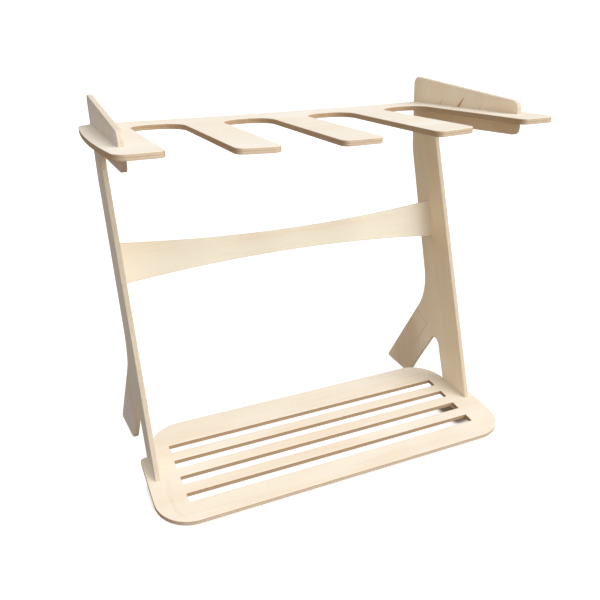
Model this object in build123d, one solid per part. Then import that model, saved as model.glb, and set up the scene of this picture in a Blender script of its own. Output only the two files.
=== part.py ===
from build123d import *
import os
from math import atan, cos, radians, sin

# A free-standing floor rack for four long-necked instruments, in birch plywood.
# Two side panels stand on a front and a rear foot each, and carry a bottom shelf
# that slopes down to the front, a top shelf with four open neck slots, and a
# cross brace between them.  Both shelves halve into the panels: each panel is
# notched from its front, and each shelf is slotted from its back.
#
# Lengths are in mm.  X runs to the right, Y to the back and Z up.  The origin is
# on the floor, under the middle of the rack.

# The sheet and the panels' places
PLY = 9.0                   # thickness of every board
EASE = 1.0                  # sanded rounding along the rims of every board
CLEAR_WIDTH = 656.0         # between the two side panels
PANEL_IN = CLEAR_WIDTH / 2
PANEL_OUT = PANEL_IN + PLY

# Side panel outline, seen along X: Y is the first number, Z the second
FRONT_FOOT_Y = (-107.4, -27.1)
FRONT_FOOT_RADIUS = 2.0
REAR_FOOT_Y = (136.3, 247.3)
REAR_FOOT_RADII = (45.0, 4.0)
CROTCH = (21.8, 160.0)      # where the inner edges of the two legs meet
CROTCH_RADIUS = 16.5
LEG_LEAN = 0.285            # the front leg's front edge leans back this much per mm up
ELBOW = (64.7, 236.0)       # where the back edge turns out into the rear leg
ELBOW_RADIUS = 112.0
BACK_Y = 142.3
BACK_BEND_Z = 550.5         # the back edge is upright above this height
BACK_BEND_RADIUS = 60.0
ARM_Y = -178.7
ARM_Z = 605.0               # underside of the arm that carries the top shelf
ARM_RADIUS = 11.0
ARM_ROOT_RADIUS = 25.0
FIN_FRONT_Z = 660.0         # the fin above the top shelf rises from here...
FIN_BACK_Z = 695.5          # ...to here, before its corners are rounded
FIN_RADIUS = 15.0

# The panels' rear legs toe out behind an almost upright bend line
TOE_FROM_Y = 80.3           # where the bend line meets the floor
TOE_LINE_LEAN = 0.1127      # it leans back this much per mm up
TOE_OUT = 0.07              # behind it a leg moves out this much per mm back
TOE_RADIUS = 430.0

# Top shelf, in its own plane: x across, y from its front edge to the back
TOP_FRONT_EDGE = (0.0, -243.2, 639.1)
TOP_TILT = 0.85             # degrees that it rises to the back
TOP_DEPTH = 378.0
TOP_END_FRONT = 352.0       # half widths: at the front corners,
TOP_END_MIDDLE = 365.0      # at the widest part of the bowed ends,
TOP_END_BACK = 358.0        # and at the back corners
TOP_WIDEST_AT = 170.0
TOP_BACK_HOLLOW = 8.0
TOP_FRONT_RADIUS = 20.0
TOP_BACK_RADIUS = 33.0
NECK_SLOT_PITCH = 160.0
NECK_SLOT_WIDTH = 92.0
NECK_SLOT_DEPTH = 308.0
NECK_SLOT_RADIUS = 38.0
NECK_SLOTS = 4
TONGUE_RADIUS = 12.0
DROOP = 7.8                 # sag of the front edge, midway between the panels
DROOP_HALF_SPAN = 285.0
DROOP_STEPS = 16            # points of the sag's curve, each side of the middle
TOP_LAP = 224.5             # the panel's notch and the shelf's slot meet here

# Bottom shelf, in its own plane: x across, y from its front edge to the back
BOTTOM_FRONT_EDGE = (0.0, -207.7, 32.8)
BOTTOM_TILT = 7.0           # degrees that it rises to the back
BOTTOM_DEPTH = 264.0
BOTTOM_HALF_WIDTH = 351.0
BOTTOM_FRONT_RADIUS = 64.0
BOTTOM_BACK_RADIUS = 67.0
BOTTOM_WING_BACK = 186.0    # back end of the strip outside each panel
BOTTOM_WING_RADIUS = 8.0
BODY_SLOTS = 4
BODY_SLOT_LENGTH = 588.0
BODY_SLOT_WIDTH = 21.2
BODY_SLOT_PITCH = 44.6
BODY_SLOT_FIRST = 56.5      # centre of the front slot
BODY_SLOT_RADIUS = 1.5
BOTTOM_LAP = 157.0          # the panel's notch and the shelf's slot meet here

# Cross brace, in its own plane: x across, y up the board
BRACE_FRONT_MIDDLE = (0.0, 64.6, 407.0)
BRACE_LEAN = 0.2213         # its faces lean back this much per mm up
BRACE_END_HEIGHT = 75.2
BRACE_WAIST_HEIGHT = 42.0
BRACE_CHAMFER = 0.8         # along its two curved edges
TENON_HEIGHT = 40.0
TENON_LENGTH = 5.0          # blind, so it stays hidden inside the panel

BEYOND = 40.0               # how far cutting shapes run past a board


def sloping_plane(front_edge, tilt):
    """Plane of a shelf's upper face: x across, y up the slope, z out of the face."""
    rise = radians(tilt)
    return Plane(origin=front_edge, x_dir=(1, 0, 0), z_dir=(0, -sin(rise), cos(rise)))


TOP_PLANE = sloping_plane(TOP_FRONT_EDGE, TOP_TILT)
BOTTOM_PLANE = sloping_plane(BOTTOM_FRONT_EDGE, BOTTOM_TILT)
TOE_LINE = Vector(0, TOE_LINE_LEAN, 1).normalized()
BRACE_ANGLE = atan(BRACE_LEAN)
BRACE_PLANE = Plane(
    origin=BRACE_FRONT_MIDDLE,
    x_dir=(1, 0, 0),
    z_dir=(0, -cos(BRACE_ANGLE), sin(BRACE_ANGLE)),
)


def rounded_outline(corners):
    """Closed face through (x, y, corner radius) triples."""
    points = [(x, y) for x, y, _ in corners]
    radii = [radius for _, _, radius in corners]
    return make_face(FilletPolyline(*points, radius=radii, close=True))


def rectangle(x_low, x_high, y_low, y_high):
    """Face between two x and two y limits."""
    middle = ((x_low + x_high) / 2, (y_low + y_high) / 2)
    return Pos(*middle) * Rectangle(x_high - x_low, y_high - y_low)


def board(plane, face):
    """One thickness of sheet below the given plane, with both rims sanded round."""
    solid = extrude(plane * face, -PLY)
    rims = [edge for side in solid.faces().filter_by(plane) for edge in side.edges()]
    return fillet(rims, EASE)


def top_shelf_outline():
    """Outline with bowed ends and a hollow back, open at the front for the necks."""
    ends = [
        ThreePointArc((side * TOP_END_FRONT, 0), (side * TOP_END_MIDDLE, TOP_WIDEST_AT),
                      (side * TOP_END_BACK, TOP_DEPTH))
        for side in (-1, 1)
    ]
    front = Line((-TOP_END_FRONT, 0), (TOP_END_FRONT, 0))
    back = ThreePointArc((-TOP_END_BACK, TOP_DEPTH), (0, TOP_DEPTH - TOP_BACK_HOLLOW),
                         (TOP_END_BACK, TOP_DEPTH))
    outline = make_face([front, back, *ends])
    outline = fillet(outline.vertices().group_by(Axis.Y)[0], TOP_FRONT_RADIUS)
    outline = fillet(outline.vertices().group_by(Axis.Y)[-1], TOP_BACK_RADIUS)
    half = NECK_SLOT_WIDTH / 2
    for number in range(NECK_SLOTS):
        middle = (number - (NECK_SLOTS - 1) / 2) * NECK_SLOT_PITCH
        outline -= rounded_outline([
            (middle - half, -BEYOND, 0),
            (middle + half, -BEYOND, 0),
            (middle + half, NECK_SLOT_DEPTH, NECK_SLOT_RADIUS),
            (middle - half, NECK_SLOT_DEPTH, NECK_SLOT_RADIUS),
        ])
    tongue_corners = [
        vertex for vertex in outline.vertices().group_by(Axis.Y)[0]
        if abs(vertex.X) < TOP_END_FRONT - NECK_SLOT_WIDTH / 2
    ]
    return fillet(tongue_corners, TONGUE_RADIUS)


def droop_share(x):
    """Share of the full droop at x: 1 in the middle, and flat from the outer tongues out."""
    along = min(abs(x) / DROOP_HALF_SPAN, 1.0)
    return (1 - along ** 4) ** 2


def drooping_sheet():
    """Oversize sheet, straight along the back and bowed down along the front."""
    back_y = TOP_DEPTH + BEYOND
    front_y = -BEYOND
    front_droop = DROOP * (back_y - front_y) / back_y
    half_width = PANEL_OUT + 2 * BEYOND
    steps = range(-DROOP_STEPS, DROOP_STEPS + 1)
    across = [half_width * step / DROOP_STEPS for step in steps]

    def section(y, droop):
        upright = Plane(origin=(0, y, 0), x_dir=(1, 0, 0), z_dir=(0, -1, 0))
        faces = [Spline(*[(x, z - droop * droop_share(x)) for x in across]) for z in (0, -PLY)]
        sides = [Line((x, 0), (x, -PLY)) for x in (-half_width, half_width)]
        return upright * make_face(faces + sides)

    return loft([section(front_y, front_droop), section(back_y, 0)], ruled=True)


def top_shelf():
    """Shelf with four open neck slots, slotted at the back for the two panels."""
    shelf = extrude(top_shelf_outline(), PLY + DROOP, both=True) & drooping_sheet()
    rims = [edge for edge in shelf.edges() if abs(edge.tangent_at(0.5).Z) < 0.5]
    shelf = fillet(rims, EASE)
    for side in (-1, 1):
        slot = rectangle(PANEL_IN, PANEL_OUT, TOP_LAP, TOP_DEPTH + BEYOND)
        shelf -= extrude(Pos((side - 1) * (PANEL_IN + PANEL_OUT) / 2) * slot, 2 * PLY, both=True)
    return TOP_PLANE * shelf


def bottom_shelf():
    """Sloping shelf with four long slots, slotted at the back for the two panels."""
    half = BOTTOM_HALF_WIDTH
    outline = rounded_outline([
        (-half, 0, BOTTOM_FRONT_RADIUS),
        (half, 0, BOTTOM_FRONT_RADIUS),
        (half, BOTTOM_WING_BACK, BOTTOM_WING_RADIUS),
        (PANEL_IN, BOTTOM_WING_BACK, 0),
        (PANEL_IN, BOTTOM_DEPTH, BOTTOM_BACK_RADIUS),
        (-PANEL_IN, BOTTOM_DEPTH, BOTTOM_BACK_RADIUS),
        (-PANEL_IN, BOTTOM_WING_BACK, 0),
        (-half, BOTTOM_WING_BACK, BOTTOM_WING_RADIUS),
    ])
    for number in range(BODY_SLOTS):
        middle = BODY_SLOT_FIRST + number * BODY_SLOT_PITCH
        slot = RectangleRounded(BODY_SLOT_LENGTH, BODY_SLOT_WIDTH, BODY_SLOT_RADIUS)
        outline -= Pos(0, middle) * slot
    shelf = board(BOTTOM_PLANE, outline)
    for side in (-1, 1):
        slot = rectangle(PANEL_IN, PANEL_OUT, BOTTOM_LAP, BOTTOM_DEPTH + BEYOND)
        slot = Pos((side - 1) * (PANEL_IN + PANEL_OUT) / 2) * slot
        shelf -= extrude(BOTTOM_PLANE * slot, 2 * PLY, both=True)
    return shelf


def cross_brace():
    """Board between the panels, waisted in the middle, with a blind tenon at each end."""
    end = BRACE_END_HEIGHT / 2
    waist = BRACE_WAIST_HEIGHT / 2
    tenon = TENON_HEIGHT / 2
    reach = PANEL_IN + TENON_LENGTH
    edges = []
    for side in (-1, 1):
        edges.append(ThreePointArc((-PANEL_IN, side * end), (0, side * waist), (PANEL_IN, side * end)))
        edges.append(Polyline(
            (side * PANEL_IN, -end),
            (side * PANEL_IN, -tenon),
            (side * reach, -tenon),
            (side * reach, tenon),
            (side * PANEL_IN, tenon),
            (side * PANEL_IN, end),
        ))
    brace = extrude(BRACE_PLANE * make_face(edges), -PLY)
    return chamfer(brace.edges().filter_by(GeomType.CIRCLE), BRACE_CHAMFER)


def side_panel_outline():
    """Panel profile in Y and Z, from the front foot up the back to the fin and the arm."""
    arm_root_y = FRONT_FOOT_Y[0] + LEG_LEAN * ARM_Z
    return rounded_outline([
        (FRONT_FOOT_Y[0], 0, FRONT_FOOT_RADIUS),
        (FRONT_FOOT_Y[1], 0, FRONT_FOOT_RADIUS),
        (*CROTCH, CROTCH_RADIUS),
        (REAR_FOOT_Y[0], 0, REAR_FOOT_RADII[0]),
        (REAR_FOOT_Y[1], 0, REAR_FOOT_RADII[1]),
        (*ELBOW, ELBOW_RADIUS),
        (BACK_Y, BACK_BEND_Z, BACK_BEND_RADIUS),
        (BACK_Y, FIN_BACK_Z, FIN_RADIUS),
        (ARM_Y, FIN_FRONT_Z, FIN_RADIUS),
        (ARM_Y, ARM_Z, ARM_RADIUS),
        (arm_root_y, ARM_Z, ARM_ROOT_RADIUS),
    ])


def toed_sheet():
    """Oversize sheet, upright and flat in front of the toe line and turned out behind it."""
    reach = 10 * BEYOND
    turned = reach * TOE_OUT
    section = rounded_outline([
        (PANEL_IN, -reach, 0),
        (PANEL_IN, TOE_FROM_Y, TOE_RADIUS),
        (PANEL_IN + turned, TOE_FROM_Y + reach, 0),
        (PANEL_OUT + turned, TOE_FROM_Y + reach, 0),
        (PANEL_OUT, TOE_FROM_Y, TOE_RADIUS),
        (PANEL_OUT, -reach, 0),
    ])
    low = Pos(0, -BEYOND * TOE_LINE_LEAN, -BEYOND) * section
    return extrude(low, FIN_BACK_Z + 2 * BEYOND, dir=TOE_LINE)


def side_panel(side, brace):
    """Panel notched from its front for both shelves and mortised for the brace."""
    start = Plane.YZ.offset(PANEL_IN - BEYOND)
    panel = extrude(start * side_panel_outline(), 3 * BEYOND) & toed_sheet()
    rims = [
        edge for edge in panel.edges()
        if abs(edge.tangent_at(0.5).X) < 0.5 and abs(edge.tangent_at(0.5).dot(TOE_LINE)) < 0.9999
    ]
    panel = fillet(rims, EASE)
    for plane, lap in ((TOP_PLANE, TOP_LAP), (BOTTOM_PLANE, BOTTOM_LAP)):
        notch = rectangle(PANEL_IN - PLY, PANEL_OUT + PLY, -BEYOND, lap)
        panel -= extrude(plane * notch, -PLY)
    if side < 0:
        panel = mirror(panel, Plane.YZ)
    return panel - brace


os.makedirs("parts", exist_ok=True)
brace = cross_brace()
nodes = {
    "side_panel_left": side_panel(-1, brace),
    "side_panel_right": side_panel(1, brace),
    "top_shelf": top_shelf(),
    "bottom_shelf": bottom_shelf(),
    "cross_brace": brace,
}
for name, shape in nodes.items():
    export_step(shape, f"parts/{name}.step")
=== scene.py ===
from math import atan, cos, radians, sin

import bpy
from mathutils import Matrix, Vector

# The looks of a plywood floor rack: five boards of 9 mm birch plywood, each with
# its own grain direction, veneer figure and visible plies along its edges.
# Lengths are in metres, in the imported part's frame: X right, Y back, Z up.

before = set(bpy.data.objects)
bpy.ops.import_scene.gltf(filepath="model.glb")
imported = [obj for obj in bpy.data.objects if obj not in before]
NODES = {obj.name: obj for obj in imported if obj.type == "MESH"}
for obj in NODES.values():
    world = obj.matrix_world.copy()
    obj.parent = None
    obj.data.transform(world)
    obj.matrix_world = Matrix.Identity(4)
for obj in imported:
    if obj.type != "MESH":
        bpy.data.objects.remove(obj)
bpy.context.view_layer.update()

# ---------------------------------------------------------------- the boards
PLY_BOARD = 0.009           # board thickness
PLIES = 7
PANEL_IN = 0.328            # inner faces of the side panels, from the middle
PANEL_OUT = PANEL_IN + PLY_BOARD
TOP_FRONT_EDGE = Vector((0, -0.2432, 0.6391))
TOP_TILT = radians(0.85)
TOP_DROOP = 0.0078          # sag of the top shelf's front edge
TOP_DROOP_HALF = 0.285
TOP_DROOP_FLATNESS = 4.0    # power of its profile: higher is flatter in the middle
TOP_DROOP_BACK = 0.418      # the sag fades out to this far behind the front edge
BOTTOM_FRONT_EDGE = Vector((0, -0.2077, 0.0328))
BOTTOM_TILT = radians(7)
BRACE_MIDDLE = Vector((0, 0.0646, 0.407))
BRACE_ANGLE = atan(0.2213)
LEG_ANGLE = atan(0.285)     # the panels' front edges lean back by this
TOE_LINE = (0, 1, -0.1127)  # the rear legs turn out behind the line where this product...
TOE_FROM = 0.0803           # ...reaches this
TOE_OUT = 0.07              # outward per metre behind that line
TOE_BEND = 0.01505          # half length of the bend

# ---------------------------------------------------------------- colours
VENEER = (0.86, 0.785, 0.655)
VENEER_WARM = (0.85, 0.735, 0.585)
VENEER_PALE = (0.90, 0.845, 0.745)
EDGE_LIGHT = (0.76, 0.63, 0.47)
EDGE_DARK = (0.56, 0.40, 0.26)
PANEL_EDGE_LIGHT = (0.70, 0.61, 0.48)
PANEL_EDGE_DARK = (0.61, 0.49, 0.36)
END_GRAIN_AND_SLOT_SHADE = (0.74, 0.65, 0.54)                # the shelves' slot walls and end grain are browner: end grain, and painted shade in the slots
PANEL_RIM_PAINTED_LIGHT = (1.06, 1.08, 1.10)          # the rims of the panels' fins and arms, and their end grain, are paler: painted light
GLUE = (0.30, 0.185, 0.10)
FIGURE_AND_PAINTED_SHADE = (0.60, 0.36, 0.24)          # darker marks in the veneer: drawn figure, dark wedges, and painted shade under the top shelf's ends
# Board tones, partly each board's own and partly painted light: the brace lighter where it faces
# the light, the left panel cooler in its shade, the right panel warmer from light thrown back onto
# it
TOP_TONE = (0.98, 0.98, 0.99)           # each board's veneer differs a little in tone, partly painted light
BOTTOM_TONE = (0.955, 0.935, 0.91)
BRACE_TONE = (1.07, 1.08, 1.06)
LEFT_TONE = (0.91, 0.94, 1.01)
RIGHT_TONE = (1.10, 1.05, 0.955)

# ---------------------------------------------------------------- grain and plies
# Noise cells per metre, along and across the grain
DRIFT_CELLS = (2.2, 7.0)
FIGURE_CELLS = (1.6, 22.0)
FIBRE_CELLS = (9.0, 420.0)
PORE_CELLS = (160.0, 2600.0)
PATCH_CELLS = (4.0, 9.0)
STREAK_CELLS = (60.0, 60.0)
PLY_TONE_CELLS = (3.0, 3.0)
FIBRE_END_CELLS = (1500.0, 1500.0)
FIBRE_END_DEPTH_CELLS = 900.0
WANDER_CELLS = 22.0

DRIFT = 0.05                # how far the figure wanders off the grain direction
GROWTH_RATE = 420.0         # growth lines, in radians per metre across the grain
GROWTH_WAVER = 0.09
PLY_WANDER = 0.00035        # unevenness of the plies' joints
FACE_STEP = 3.7             # offsets in the noise, from one face or ply to the next
PLY_SHADE_STEP = 7.7
STREAK_STEP = 5.3
PLY_TONE_STEP = 9.1

# Ramps: input from and to, then output from and to where that isn't 0 and 1
WARM_FIGURE = (0.40, 0.68)
PALE_PATCH = (0.45, 0.75, 0.0, 0.8)
GROWTH_LINE = (0.72, 1.0, 0.0, 0.10)
FIBRE_LINE = (0.35, 0.75, 0.0, 0.07)
PIT = (0.66, 0.78, 0.0, 0.22)
EDGE_BY_FLATNESS = (0.45, 0.80, 1.0, 0.0)
PLY_SHADE = (0.35, 0.65, 0.25, 1.0)
LIGHT_PLY = (0.30, 0.70, 0.0, 0.35)
DARK_STREAK = (0.45, 0.80, 0.0, 0.35)
DARK_FIBRE_END = (0.50, 0.75, 0.0, 0.25)
GLUE_REACH = (0.02, 0.07)
STROKE_FADE = (0.35, 1.0, 1.0, 0.0)
FACE_ROUGHNESS = (0.2, 0.8, 0.46, 0.60)
EDGE_ROUGHNESS = (0.2, 0.8, 0.66, 0.82)

FIBRE_RELIEF = 0.4
PIT_RELIEF = 2.0
FIBRE_END_RELIEF = 0.8
END_GRAIN_RELIEF = -0.6
RELIEF_DISTANCE = 0.00012
RELIEF_STRENGTH = 0.6
WOOD_SPECULAR = 0.35


class Graph:
    """Short names for building the nodes of one material or world."""

    def __init__(self, owner):
        owner.use_nodes = True
        self.owner = owner
        self.nodes = owner.node_tree.nodes
        self.links = owner.node_tree.links

    def feed(self, socket, value):
        if isinstance(value, bpy.types.NodeSocket):
            self.links.new(value, socket)
        else:
            socket.default_value = value

    def shade(self, name, value):
        self.feed(self.nodes["Principled BSDF"].inputs[name], value)

    def coordinates(self, kind):
        return self.nodes.new("ShaderNodeTexCoord").outputs[kind]

    def split(self, where):
        node = self.nodes.new("ShaderNodeSeparateXYZ")
        self.feed(node.inputs[0], where)
        return node.outputs

    def combine(self, x, y, z):
        node = self.nodes.new("ShaderNodeCombineXYZ")
        for socket, value in zip(node.inputs, (x, y, z)):
            self.feed(socket, value)
        return node.outputs[0]

    def math(self, operation, *values, clamp=False):
        node = self.nodes.new("ShaderNodeMath")
        node.operation = operation
        node.use_clamp = clamp
        for socket, value in zip(node.inputs, values):
            self.feed(socket, value)
        return node.outputs[0]

    def linear(self, value, factor, offset):
        return self.math("ADD", self.math("MULTIPLY", value, factor), offset)

    def centred(self, noise, amount):
        return self.math("MULTIPLY", self.math("SUBTRACT", noise, 0.5), amount)

    def vector(self, operation, *values):
        node = self.nodes.new("ShaderNodeVectorMath")
        node.operation = operation
        for socket, value in zip(node.inputs, values):
            self.feed(socket, value)
        return node.outputs["Value" if operation in ("DOT_PRODUCT", "DISTANCE") else "Vector"]

    def noise(self, where, scale, detail, roughness=0.5):
        node = self.nodes.new("ShaderNodeTexNoise")
        self.feed(node.inputs["Vector"], where)
        node.inputs["Scale"].default_value = scale
        node.inputs["Detail"].default_value = detail
        node.inputs["Roughness"].default_value = roughness
        return node.outputs[0]

    def grain_noise(self, along, across, cells, layer, detail, roughness=0.5):
        """Noise stretched to so many cells per metre along and across the grain."""
        where = self.combine(
            self.math("MULTIPLY", along, cells[0]), self.math("MULTIPLY", across, cells[1]), layer)
        return self.noise(where, 1.0, detail, roughness)

    def ramp(self, value, low, high, to_low=0.0, to_high=1.0, smooth=True):
        node = self.nodes.new("ShaderNodeMapRange")
        node.interpolation_type = "SMOOTHSTEP" if smooth else "LINEAR"
        for socket, number in zip(node.inputs, (value, low, high, to_low, to_high)):
            self.feed(socket, number)
        return node.outputs[0]

    def between(self, value, low, high, fade):
        return self.math("MULTIPLY", self.ramp(value, low - fade, low + fade),
                         self.ramp(value, high - fade, high + fade, 1.0, 0.0))

    def mix(self, share, first, second, blend="MIX"):
        node = self.nodes.new("ShaderNodeMix")
        node.data_type = "RGBA"
        node.blend_type = blend
        self.feed(node.inputs[0], share)
        for socket, colour in zip((node.inputs[6], node.inputs[7]), (first, second)):
            self.feed(socket, (*colour, 1.0) if isinstance(colour, tuple) else colour)
        return node.outputs[2]

    def bump(self, height, distance, strength):
        node = self.nodes.new("ShaderNodeBump")
        node.inputs["Strength"].default_value = strength
        node.inputs["Distance"].default_value = distance
        self.feed(node.inputs["Height"], height)
        return node.outputs[0]


def sag(g, place, along, across):
    """How far the top shelf hangs below its plane."""
    reach = g.math("DIVIDE", g.math("ABSOLUTE", along), TOP_DROOP_HALF, clamp=True)
    flat = g.math("SUBTRACT", 1.0, g.math("POWER", reach, TOP_DROOP_FLATNESS))
    share = g.math("MULTIPLY", flat, flat)
    fade = g.math("SUBTRACT", 1.0, g.math("DIVIDE", across, TOP_DROOP_BACK))
    return g.math("MULTIPLY", g.math("MULTIPLY", share, fade), TOP_DROOP)


def toe_out(g, place, along, across):
    """How far a side panel turns out behind its bend line."""
    behind = g.math("SUBTRACT", g.vector("DOT_PRODUCT", place, TOE_LINE), TOE_FROM)
    straight = g.math("MAXIMUM", g.math("SUBTRACT", behind, TOE_BEND), 0.0)
    into_bend = g.math("MAXIMUM", g.math("ADD", behind, TOE_BEND), 0.0)
    turning = g.math("MINIMUM", into_bend, 2 * TOE_BEND)
    bend = g.math("DIVIDE", g.math("MULTIPLY", turning, turning), 4 * TOE_BEND)
    return g.math("MULTIPLY", g.math("ADD", straight, bend), TOE_OUT)


def stroke(g, place, start, end, width, taper):
    """1 on a line between two points, fading out at half the width, thinner toward its end."""
    start, axis = Vector(start), Vector(end) - Vector(start)
    from_start = g.vector("SUBTRACT", place, tuple(start))
    ahead = g.vector("DOT_PRODUCT", from_start, tuple(axis / axis.length_squared))
    share = g.math("MULTIPLY", ahead, 1.0, clamp=True)
    nearest = g.vector("MULTIPLY_ADD", g.combine(share, share, share), tuple(axis), tuple(start))
    reach = g.math("SUBTRACT", width / 2, g.math("MULTIPLY", share, width / 2 * taper))
    return g.ramp(g.math("DIVIDE", g.vector("DISTANCE", place, nearest), reach), *STROKE_FADE)


def plywood(name, origin, grain, normal, seed, tone, edge_light=EDGE_LIGHT, edge_dark=EDGE_DARK,
            glue=0.55, rim_tint=END_GRAIN_AND_SLOT_SHADE, tint_from=(1, 1), tint_to=(1, 1), tint_fade=0.006,
            curve=None, marks=()):
    """Birch plywood board: veneer figure on its faces, plies and end grain on its edges.

    Its edges are multiplied by the rim tint where they face along the grain, and anywhere in
    the tint area between two (along, across) corners: besides end grain, this is painted shade
    in the shelves' slots and painted light on the panels' upper rims.  A curve tells how far the
    board leaves its plane.  Marks are start, end, width, taper and strength of darker marks:
    drawn figure, dark wedges, and painted shade under the top shelf's ends.
    """
    g = Graph(bpy.data.materials.new(name))
    face, warm, pale = (
        tuple(part * share for part, share in zip(colour, tone))
        for colour in (VENEER, VENEER_WARM, VENEER_PALE)
    )
    normal = Vector(normal).normalized()
    grain = Vector(grain).normalized()
    cross = normal.cross(grain)

    place = g.coordinates("Object")
    from_origin = g.vector("SUBTRACT", place, tuple(origin))
    along = g.vector("DOT_PRODUCT", from_origin, tuple(grain))
    across = g.vector("DOT_PRODUCT", from_origin, tuple(cross))
    depth = g.math("MULTIPLY", g.vector("DOT_PRODUCT", from_origin, tuple(normal)), -1.0)
    if curve:
        depth = g.math("SUBTRACT", depth, curve(g, place, along, across))

    # Veneer: long soft figure, fine fibre lines and short pores, all along the grain
    drift = g.centred(g.grain_noise(along, across, DRIFT_CELLS, seed, 2.0), DRIFT)
    bent = g.math("ADD", across, drift)
    sheet = g.linear(g.math("ROUND", g.math("DIVIDE", depth, PLY_BOARD)), FACE_STEP, seed)
    figure = g.grain_noise(along, bent, FIGURE_CELLS, sheet, 3.0, 0.55)
    fibre = g.grain_noise(along, bent, FIBRE_CELLS, sheet, 3.0, 0.6)
    pores = g.grain_noise(along, bent, PORE_CELLS, sheet, 1.0)
    patch = g.grain_noise(along, bent, PATCH_CELLS, sheet, 2.0)
    wavering = g.math("ADD", bent, g.math("MULTIPLY", figure, GROWTH_WAVER))
    growth = g.math("SINE", g.math("MULTIPLY", wavering, GROWTH_RATE))
    pits = g.ramp(pores, *PIT)

    veneer = g.mix(g.ramp(figure, *WARM_FIGURE), face, warm)
    veneer = g.mix(g.ramp(patch, *PALE_PATCH), veneer, pale)
    veneer = g.mix(g.ramp(growth, *GROWTH_LINE), veneer, warm, "MULTIPLY")
    veneer = g.mix(g.ramp(fibre, *FIBRE_LINE, smooth=False), veneer, EDGE_LIGHT, "MULTIPLY")
    veneer = g.mix(pits, veneer, EDGE_DARK, "MULTIPLY")
    # Darker marks: drawn figure, and painted shade where the top shelf's ends shade the panels
    for start, end, width, taper, strength in marks:
        share = g.math("MULTIPLY", stroke(g, place, start, end, width, taper), strength)
        veneer = g.mix(share, veneer, FIGURE_AND_PAINTED_SHADE, "MULTIPLY")

    # Edges: crossed plies, the ones cut across their fibres darker and rougher
    facing = g.nodes.new("ShaderNodeNewGeometry").outputs["Normal"]
    flatness, grain_facing, cross_facing = (
        g.math("ABSOLUTE", g.vector("DOT_PRODUCT", facing, tuple(axis)))
        for axis in (normal, grain, cross)
    )
    edge = g.ramp(flatness, *EDGE_BY_FLATNESS)
    toward_grain = g.math("POWER", grain_facing, 2.0)
    toward_cross = g.math("POWER", cross_facing, 2.0)
    wander = g.centred(g.noise(place, WANDER_CELLS, 2.0), PLY_WANDER)
    level = g.math("MULTIPLY", g.math("ADD", depth, wander), PLIES / PLY_BOARD)
    ply = g.math("FLOOR", level)
    within = g.math("FRACT", level)
    odd = g.math("MODULO", g.math("ABSOLUTE", ply), 2.0)
    fibre_ends = g.ramp(odd, 0.0, 1.0, toward_grain, toward_cross, smooth=False)
    ply_shade = g.noise(g.combine(g.math("MULTIPLY", ply, PLY_SHADE_STEP), seed, 0.0), 1.0, 0.0)
    end_grain = g.math("MULTIPLY", fibre_ends, g.ramp(ply_shade, *PLY_SHADE))
    streak = g.grain_noise(
        along, across, STREAK_CELLS, g.linear(ply, STREAK_STEP, seed), 3.0, 0.6)
    ply_tone = g.grain_noise(
        along, across, PLY_TONE_CELLS, g.linear(ply, PLY_TONE_STEP, seed), 1.0)
    fibres_cut = g.grain_noise(
        along, across, FIBRE_END_CELLS, g.math("MULTIPLY", depth, FIBRE_END_DEPTH_CELLS), 1.0)
    # Tint area: on the shelves their slots, where it paints shade; on the panels their fins and
    # arms, where it paints light
    tint_area = g.math("MULTIPLY", g.between(along, tint_from[0], tint_to[0], tint_fade),
                    g.between(across, tint_from[1], tint_to[1], tint_fade))
    near_joint = g.math("MINIMUM", within, g.math("SUBTRACT", 1.0, within))
    glue_line = g.ramp(near_joint, *GLUE_REACH, glue, 0.0)

    rim = g.mix(end_grain, edge_light, edge_dark)
    rim = g.mix(g.ramp(ply_tone, *LIGHT_PLY), rim, edge_light)
    rim = g.mix(g.ramp(streak, *DARK_STREAK), rim, edge_dark, "MULTIPLY")
    rim = g.mix(g.ramp(fibres_cut, *DARK_FIBRE_END), rim, edge_dark, "MULTIPLY")
    # Rims tinted where they face along the grain and in the tint area: end grain, with painted
    # shade in the shelves' slots and painted light on the panels' upper rims
    rim = g.mix(g.math("MAXIMUM", tint_area, toward_grain), rim, rim_tint, "MULTIPLY")
    rim = g.mix(glue_line, rim, GLUE)
    g.shade("Base Color", g.mix(edge, veneer, rim))

    # Sheen and relief
    rough_face = g.ramp(fibre, *FACE_ROUGHNESS, smooth=False)
    rough_edge = g.ramp(streak, *EDGE_ROUGHNESS, smooth=False)
    g.shade("Roughness", g.ramp(edge, 0.0, 1.0, rough_face, rough_edge, smooth=False))
    face_relief = g.math("SUBTRACT", g.math("MULTIPLY", fibre, FIBRE_RELIEF),
                         g.math("MULTIPLY", pits, PIT_RELIEF))
    grain_relief = g.math("ADD", g.math("MULTIPLY", fibres_cut, FIBRE_END_RELIEF),
                          g.math("MULTIPLY", end_grain, END_GRAIN_RELIEF))
    edge_relief = g.math("SUBTRACT", grain_relief, glue_line)
    relief = g.ramp(edge, 0.0, 1.0, face_relief, edge_relief, smooth=False)
    g.shade("Normal", g.bump(relief, RELIEF_DISTANCE, RELIEF_STRENGTH))
    g.shade("Specular IOR Level", WOOD_SPECULAR)
    return g.owner


def dress(node, material):
    """Gives a CAD node one material on all its faces."""
    slots = NODES[node].data.materials
    slots.clear()
    slots.append(material)


def slope(tilt):
    """Upward normal of a board that rises to the back by tilt."""
    return Vector((0, -sin(tilt), cos(tilt)))


def on_bottom_shelf(across, up_slope):
    """Point on the bottom shelf's upper face."""
    return BOTTOM_FRONT_EDGE + Vector(
        (across, up_slope * cos(BOTTOM_TILT), up_slope * sin(BOTTOM_TILT)))


LEG_GRAIN = (0, sin(LEG_ANGLE), cos(LEG_ANGLE))
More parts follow.
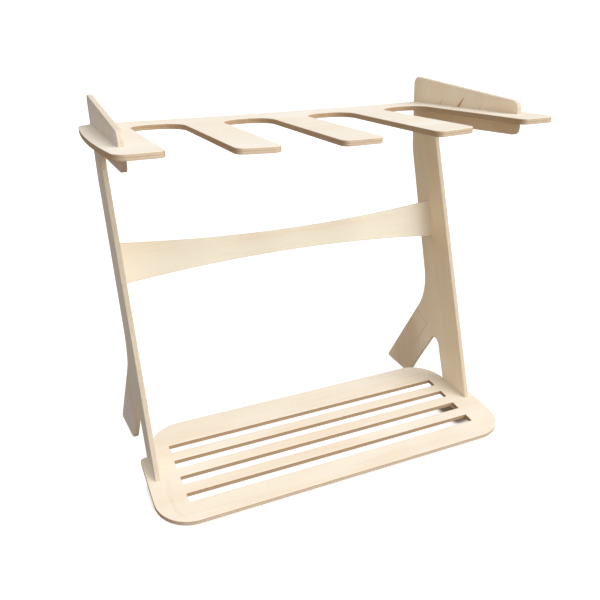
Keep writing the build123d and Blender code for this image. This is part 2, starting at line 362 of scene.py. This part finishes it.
# Panel edges; their rim tint is painted light on the rims of the fins and arms
PANEL_EDGES = {
    "edge_light": PANEL_EDGE_LIGHT, "edge_dark": PANEL_EDGE_DARK, "glue": 0.25, "curve": toe_out,
    "rim_tint": PANEL_RIM_PAINTED_LIGHT, "tint_from": (0.51, -0.6), "tint_to": (0.90, 0.6), "tint_fade": 0.08,
}

# Marks: start, end, width, taper, strength
# Painted shade on both panels just under the top shelf's ends
LEFT_PAINTED_SHADE_UNDER_SHELF = ((-PANEL_OUT, 0.13, 0.615), (-PANEL_OUT, -0.17, 0.615), 0.10, 0.0, 0.22)
RIGHT_PAINTED_SHADE_UNDER_SHELF = ((PANEL_IN, 0.1300, 0.6150), (PANEL_IN, -0.1700, 0.6150), 0.085, 0.0, 0.20)
# Three dark wedges on the right fin's inner face, narrowing upward
FIN_DARK_WEDGES = (
    ((PANEL_IN, 0.0480, 0.6420), (PANEL_IN, 0.0370, 0.6561), 0.007, 0.8, 0.40),
    ((PANEL_IN, -0.0125, 0.6410), (PANEL_IN, -0.0290, 0.6592), 0.010, 0.8, 1.0),
    ((PANEL_IN, -0.0760, 0.6410), (PANEL_IN, -0.0850, 0.6518), 0.006, 0.8, 0.22),
)
LEG_FIGURE = (
    ((0.3290, 0.112, 0.183), (PANEL_IN, 0.058, 0.163), 0.005, 0.0, 0.22),
    ((PANEL_IN, 0.058, 0.163), (0.3283, 0.093, 0.112), 0.005, 0.0, 0.26),
    ((0.3283, 0.093, 0.112), (0.3297, 0.116, 0.083), 0.004, 0.6, 0.16),
    ((0.3320, 0.150, 0.110), (0.3340, 0.160, 0.045), 0.140, 0.0, 0.14),
)
SHELF_FIGURE = (
    (on_bottom_shelf(-0.317, 0.112), on_bottom_shelf(-0.3215, 0.060), 0.010, 0.0, 0.07),
    (on_bottom_shelf(-0.3215, 0.060), on_bottom_shelf(-0.319, 0.034), 0.010, 0.0, 0.08),
    (on_bottom_shelf(-0.319, 0.034), on_bottom_shelf(-0.309, 0.012), 0.009, 0.5, 0.08),
)

dress("side_panel_left", plywood(
    "birch_panel_left", (-PANEL_IN, 0, 0), LEG_GRAIN, (1, 0, 0), 3.1, LEFT_TONE, **PANEL_EDGES,
    marks=(LEFT_PAINTED_SHADE_UNDER_SHELF,)))
dress("side_panel_right", plywood(
    "birch_panel_right", (PANEL_IN, 0, 0), LEG_GRAIN, (-1, 0, 0), 8.4, RIGHT_TONE, **PANEL_EDGES,
    marks=(*FIN_DARK_WEDGES, RIGHT_PAINTED_SHADE_UNDER_SHELF, *LEG_FIGURE)))
# The shelves' tint areas paint shade on the walls of their slots
dress("top_shelf", plywood(
    "birch_top", TOP_FRONT_EDGE, (1, 0, 0), slope(TOP_TILT), 14.7, TOP_TONE,
    tint_from=(-0.290, 0.014), tint_to=(0.290, 0.34), curve=sag))
dress("bottom_shelf", plywood(
    "birch_bottom", BOTTOM_FRONT_EDGE, (1, 0, 0), slope(BOTTOM_TILT), 21.3, BOTTOM_TONE,
    tint_from=(-0.300, 0.03), tint_to=(0.300, 0.22), marks=SHELF_FIGURE))
dress("cross_brace", plywood(
    "birch_brace", BRACE_MIDDLE, (1, 0, 0), (0, -cos(BRACE_ANGLE), sin(BRACE_ANGLE)),
    30.9, BRACE_TONE))

# ---------------------------------------------------------------- floor and backdrop
FLOOR_HALF = 14.0
FLOOR_COLOUR = (0.30, 0.30, 0.30)
FLOOR_ROUGHNESS = 0.9
FLOOR_GLOW = 0.90
BACKDROP_HEIGHT = 14.0
BACKDROP_GLOW = 1.05
WHITE = (1, 1, 1, 1)
BLACK = (0, 0, 0, 1)
PAINTED_SHADOW_X = (0.295, 0.345)  # painted shadow on the floor around the front feet, under the bottom shelf
PAINTED_SHADOW_Y = (-0.112, -0.030)
PAINTED_SHADOW_FADE = 0.012
PAINTED_SHADOW_COLOUR = (0.36, 0.30, 0.25)
PAINTED_SHADOW_GLOW = 0.03


def stage_mesh(name, corners, faces, material):
    """Plain mesh behind or below the object that casts no light or shadow on it."""
    mesh = bpy.data.meshes.new(name)
    mesh.from_pydata(corners, [], faces)
    mesh.materials.append(material)
    obj = bpy.data.objects.new(name, mesh)
    bpy.context.scene.collection.objects.link(obj)
    obj.visible_diffuse = False
    obj.visible_glossy = False
    obj.visible_shadow = False


floor = Graph(bpy.data.materials.new("pale_floor"))
floor_x, floor_y, _ = floor.split(floor.coordinates("Object"))
# Painted shadow: a darker, dimmer patch on the floor around the front feet
painted_shadow = floor.math(
    "MULTIPLY", floor.between(floor.math("ABSOLUTE", floor_x), *PAINTED_SHADOW_X, PAINTED_SHADOW_FADE),
    floor.between(floor_y, *PAINTED_SHADOW_Y, PAINTED_SHADOW_FADE))
floor.shade("Base Color", floor.mix(painted_shadow, FLOOR_COLOUR, PAINTED_SHADOW_COLOUR))
floor.shade("Roughness", FLOOR_ROUGHNESS)
floor.shade("Specular IOR Level", 0.0)
floor.shade("Emission Color", WHITE)
floor.shade("Emission Strength", floor.ramp(painted_shadow, 0.0, 1.0, FLOOR_GLOW, PAINTED_SHADOW_GLOW))
backdrop = Graph(bpy.data.materials.new("white_backdrop"))
backdrop.shade("Base Color", BLACK)
backdrop.shade("Emission Color", WHITE)
backdrop.shade("Emission Strength", BACKDROP_GLOW)

ring = [(x * FLOOR_HALF, y * FLOOR_HALF) for x, y in ((-1, -1), (1, -1), (1, 1), (-1, 1))]
low_ring = [(x, y, 0) for x, y in ring]
high_ring = [(x, y, BACKDROP_HEIGHT) for x, y in ring]
walls = [(side, (side + 1) % 4, (side + 1) % 4 + 4, side + 4) for side in range(4)]
stage_mesh("floor", low_ring, [(0, 1, 2, 3)], floor.owner)
stage_mesh("backdrop", low_ring + high_ring, [*walls, (4, 5, 6, 7)], backdrop.owner)

# ---------------------------------------------------------------- light
SKY = (0.46, 0.46, 0.47)                # light from above the horizon
GROUND = (0.51, 0.44, 0.36)             # warm light sent back up from below it
DIMMEST = (0.05, 0.04, 0.03)
AMBIENT_PULL = (0.06, -0.06, 0.36)      # brighter to the right, the front and above
HORIZON_BLEND = 0.25
KEY_AZIMUTH = radians(39)               # right of straight in front
KEY_HEIGHT = radians(38)
KEY_SPREAD = radians(55)                # a wide soft source
KEY_STRENGTH = 2.5

world = bpy.data.worlds.new("studio")
bpy.context.scene.world = world
studio = Graph(world)
direction = studio.coordinates("Generated")
pull = studio.vector("DOT_PRODUCT", direction, AMBIENT_PULL)
above = studio.ramp(studio.split(direction)[2], -HORIZON_BLEND, HORIZON_BLEND)
ambient = studio.vector("ADD", studio.mix(above, GROUND, SKY), pull)
studio.feed(studio.nodes["Background"].inputs["Color"],
            studio.vector("MAXIMUM", ambient, DIMMEST))

key_data = bpy.data.lights.new("key", "SUN")
key_data.angle = KEY_SPREAD
key_data.energy = KEY_STRENGTH
key = bpy.data.objects.new("key", key_data)
bpy.context.scene.collection.objects.link(key)
key.location = Vector((
    sin(KEY_AZIMUTH) * cos(KEY_HEIGHT), -cos(KEY_AZIMUTH) * cos(KEY_HEIGHT), sin(KEY_HEIGHT)))
key.rotation_mode = "QUATERNION"
key.rotation_quaternion = (-key.location).to_track_quat("-Z", "Y")

# ---------------------------------------------------------------- camera
CAMERA_PLACE = Vector((-0.4549, -1.0711, 0.7510))
CAMERA_RIGHT = Vector((0.917803, -0.395753, -0.031888))
CAMERA_FORWARD = Vector((0.358585, 0.860722, -0.36135))
SENSOR_WIDTH = 36.0         # in mm, as is the lens
LENS = 38.46

camera_data = bpy.data.cameras.new("camera")
camera_data.sensor_width = SENSOR_WIDTH
camera_data.lens = LENS
camera = bpy.data.objects.new("camera", camera_data)
bpy.context.scene.collection.objects.link(camera)
camera_up = CAMERA_RIGHT.cross(CAMERA_FORWARD)
turn = Matrix((CAMERA_RIGHT, camera_up, -CAMERA_FORWARD)).transposed().to_4x4()
camera.matrix_world = Matrix.Translation(CAMERA_PLACE) @ turn
bpy.context.scene.camera = camera

bpy.context.scene.view_settings.view_transform = "Standard"
